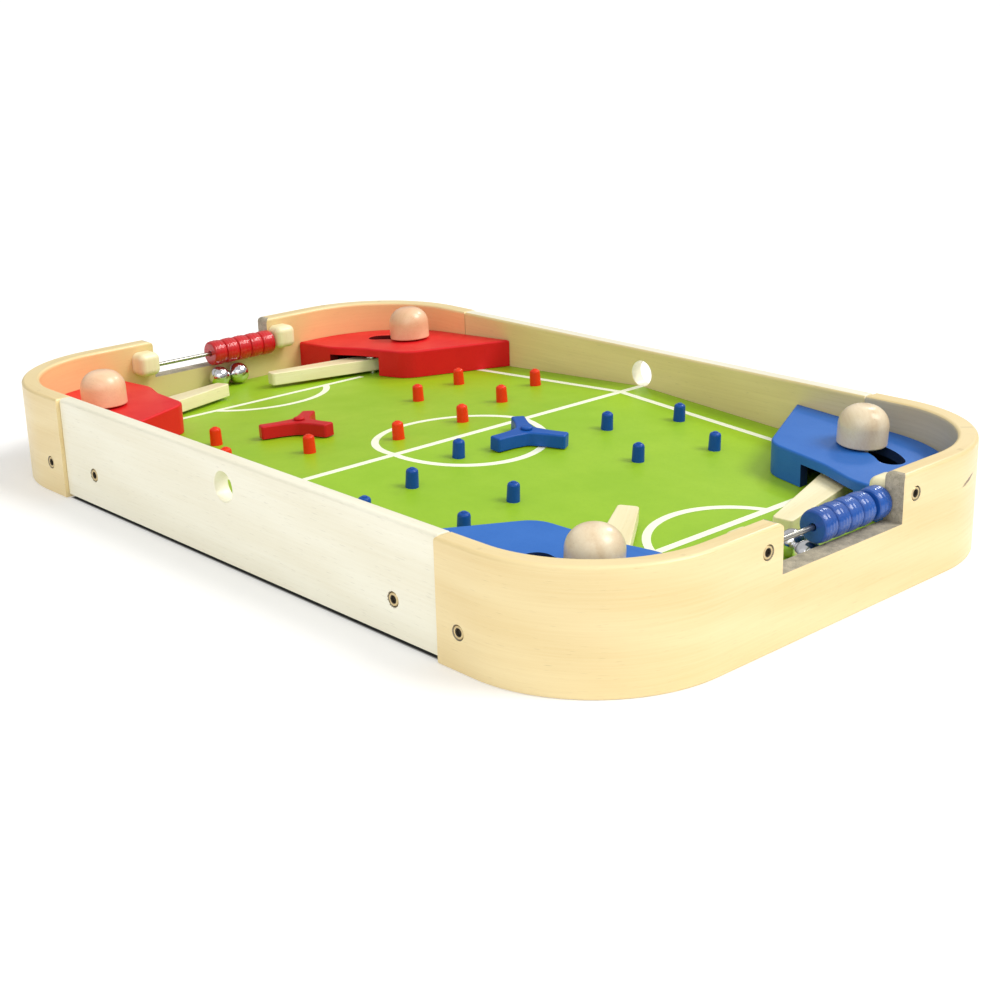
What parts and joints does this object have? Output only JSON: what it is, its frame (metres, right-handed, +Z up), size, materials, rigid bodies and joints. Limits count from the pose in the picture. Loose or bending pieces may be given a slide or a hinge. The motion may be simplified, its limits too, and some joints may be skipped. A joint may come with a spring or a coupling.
{
  "type": "tabletop flipper football game",
  "caption": "Framed wooden tabletop football game: sloped pitch, corner flippers worked by domed knobs, pegs, spinners, goal beads and steel balls.",
  "frame": {"origin": "middle of the footprint, on the surface that the game stands on", "axes": "+X along the length towards the blue goal, +Y across the width towards the rear side board, +Z up"},
  "size_m": [0.52, 0.318, 0.0641],
  "materials": {
    "end_rail_wood": "clear-lacquered pale bent plywood",
    "side_board_wood": "clear-lacquered pale wood",
    "turned_wood": "smooth lacquered turned wood",
    "flipper_wood": "smooth lacquered pale wood",
    "hidden_timber": "sawn timber",
    "pitch_paint": "grass-green printed board with white lines",
    "red_cover_paint": "red, satin",
    "blue_cover_paint": "blue, satin",
    "red_peg_paint": "orange-red paint",
    "blue_peg_paint": "dark blue paint",
    "red_spinner_paint": "deep red, satin",
    "blue_spinner_paint": "deep blue, satin",
    "red_bead_paint": "red lacquer",
    "blue_bead_paint": "blue lacquer",
    "steel": "polished steel",
    "screw_metal": "yellow-plated screws"
  },
  "bodies": {
    "frame": {"red_end_rail": "end_rail_wood", "red_pitch_panel": "pitch_paint", "red_spinner_pin": "steel", "red_score_rod": "steel", "red_front_cover": "red_cover_paint", "red_front_flipper_pin": "steel", "red_front_splice_block": "hidden_timber", "red_front_rod_block": "turned_wood", "red_front_board_screw": "screw_metal", "red_front_rail_screw": "screw_metal", "red_rear_cover": "red_cover_paint", "red_rear_flipper_pin": "steel", "red_rear_splice_block": "hidden_timber", "red_rear_rod_block": "turned_wood", "red_rear_board_screw": "screw_metal", "red_rear_rail_screw": "screw_metal", "blue_end_rail": "end_rail_wood", "blue_pitch_panel": "pitch_paint", "blue_spinner_pin": "steel", "blue_score_rod": "steel", "blue_front_cover": "blue_cover_paint", "blue_front_flipper_pin": "steel", "blue_front_splice_block": "hidden_timber", "blue_front_rod_block": "turned_wood", "blue_front_board_screw": "screw_metal", "blue_front_rail_screw": "screw_metal", "blue_rear_cover": "blue_cover_paint", "blue_rear_flipper_pin": "steel", "blue_rear_splice_block": "hidden_timber", "blue_rear_rod_block": "turned_wood", "blue_rear_board_screw": "screw_metal", "blue_rear_rail_screw": "screw_metal", "front_side_board": "side_board_wood", "rear_side_board": "side_board_wood", "ridge_beam": "hidden_timber"},
    "red_front_flipper": {"red_front_flipper": "flipper_wood", "red_front_knob": "turned_wood"},
    "red_rear_flipper": {"red_rear_flipper": "flipper_wood", "red_rear_knob": "turned_wood"},
    "red_spinner": {"red_spinner": "red_spinner_paint"},
    "blue_front_flipper": {"blue_front_flipper": "flipper_wood", "blue_front_knob": "turned_wood"},
    "blue_rear_flipper": {"blue_rear_flipper": "flipper_wood", "blue_rear_knob": "turned_wood"},
    "blue_spinner": {"blue_spinner": "blue_spinner_paint"},
    "red_bead_5": {"red_score_bead_5": "red_bead_paint"},
    "red_bead_4": {"red_score_bead_4": "red_bead_paint"},
    "red_bead_3": {"red_score_bead_3": "red_bead_paint"},
    "red_bead_2": {"red_score_bead_2": "red_bead_paint"},
    "red_bead_1": {"red_score_bead_1": "red_bead_paint"},
    "blue_bead_5": {"blue_score_bead_5": "blue_bead_paint"},
    "blue_bead_4": {"blue_score_bead_4": "blue_bead_paint"},
    "blue_bead_3": {"blue_score_bead_3": "blue_bead_paint"},
    "blue_bead_2": {"blue_score_bead_2": "blue_bead_paint"},
    "blue_bead_1": {"blue_score_bead_1": "blue_bead_paint"},
    "red_ball_1": {"red_ball_1": "steel"},
    "red_ball_2": {"red_ball_2": "steel"},
    "blue_ball_1": {"blue_ball_1": "steel"},
    "blue_ball_2": {"blue_ball_2": "steel"}
  },
  "joints": [
    {"name": "red_front_flipper_pivot", "type": "hinge", "parent": "frame", "child": "red_front_flipper", "pos_m": [-0.188, -0.086, 0.02383], "axis": [0.0604, 0, -0.9982], "range_deg": [0, 49.6]},
    {"name": "red_rear_flipper_pivot", "type": "hinge", "parent": "frame", "child": "red_rear_flipper", "pos_m": [-0.188, 0.086, 0.02383], "axis": [-0.0604, 0, 0.9982], "range_deg": [0, 49.6]},
    {"name": "red_spinner_hub", "type": "hinge", "parent": "frame", "child": "red_spinner", "pos_m": [-0.086, -0.048, 0.03], "axis": [-0.0604, 0, 0.9982], "continuous": true},
    {"name": "blue_front_flipper_pivot", "type": "hinge", "parent": "frame", "child": "blue_front_flipper", "pos_m": [0.188, -0.086, 0.02383], "axis": [0.0604, 0, 0.9982], "range_deg": [-49.6, 0]},
    {"name": "blue_rear_flipper_pivot", "type": "hinge", "parent": "frame", "child": "blue_rear_flipper", "pos_m": [0.188, 0.086, 0.02383], "axis": [-0.0604, 0, -0.9982], "range_deg": [0, 49.6]},
    {"name": "blue_spinner_hub", "type": "hinge", "parent": "frame", "child": "blue_spinner", "pos_m": [0.032, 0.02, 0.03326], "axis": [0.0604, 0, 0.9982], "continuous": true},
    {"name": "red_bead_5_slide", "type": "slide", "parent": "frame", "child": "red_bead_5", "axis": [0, -1, 0], "range_m": [0, 0.0079]},
    {"name": "red_bead_4_slide", "type": "slide", "parent": "red_bead_5", "child": "red_bead_4", "axis": [0, -1, 0], "range_m": [0, 0.0079]},
    {"name": "red_bead_3_slide", "type": "slide", "parent": "red_bead_4", "child": "red_bead_3", "axis": [0, -1, 0], "range_m": [0, 0.0079]},
    {"name": "red_bead_2_slide", "type": "slide", "parent": "red_bead_3", "child": "red_bead_2", "axis": [0, -1, 0], "range_m": [0, 0.0079]},
    {"name": "red_bead_1_slide", "type": "slide", "parent": "red_bead_2", "child": "red_bead_1", "axis": [0, -1, 0], "range_m": [0, 0.0079]},
    {"name": "blue_bead_5_slide", "type": "slide", "parent": "frame", "child": "blue_bead_5", "axis": [0, -1, 0], "range_m": [0, 0.0073]},
    {"name": "blue_bead_4_slide", "type": "slide", "parent": "blue_bead_5", "child": "blue_bead_4", "axis": [0, -1, 0], "range_m": [-0.003, 0.0073]},
    {"name": "blue_bead_3_slide", "type": "slide", "parent": "blue_bead_4", "child": "blue_bead_3", "axis": [0, -1, 0], "range_m": [0, 0.0073]},
    {"name": "blue_bead_2_slide", "type": "slide", "parent": "blue_bead_3", "child": "blue_bead_2", "axis": [0, -1, 0], "range_m": [0, 0.0073]},
    {"name": "blue_bead_1_slide", "type": "slide", "parent": "blue_bead_2", "child": "blue_bead_1", "axis": [0, -1, 0], "range_m": [0, 0.0073]},
    {"name": "red_ball_1_roll", "type": "slide", "parent": "frame", "child": "red_ball_1", "axis": [0.9982, 0, 0.0604], "range_m": [0, 0.07]},
    {"name": "red_ball_2_roll", "type": "slide", "parent": "frame", "child": "red_ball_2", "axis": [0, 1, 0], "range_m": [0, 0.045]},
    {"name": "blue_ball_1_roll", "type": "slide", "parent": "frame", "child": "blue_ball_1", "axis": [-0.9982, 0, 0.0604], "range_m": [0, 0.07]},
    {"name": "blue_ball_2_roll", "type": "slide", "parent": "frame", "child": "blue_ball_2", "axis": [0, -1, 0], "range_m": [0, 0.045]}
  ]
}
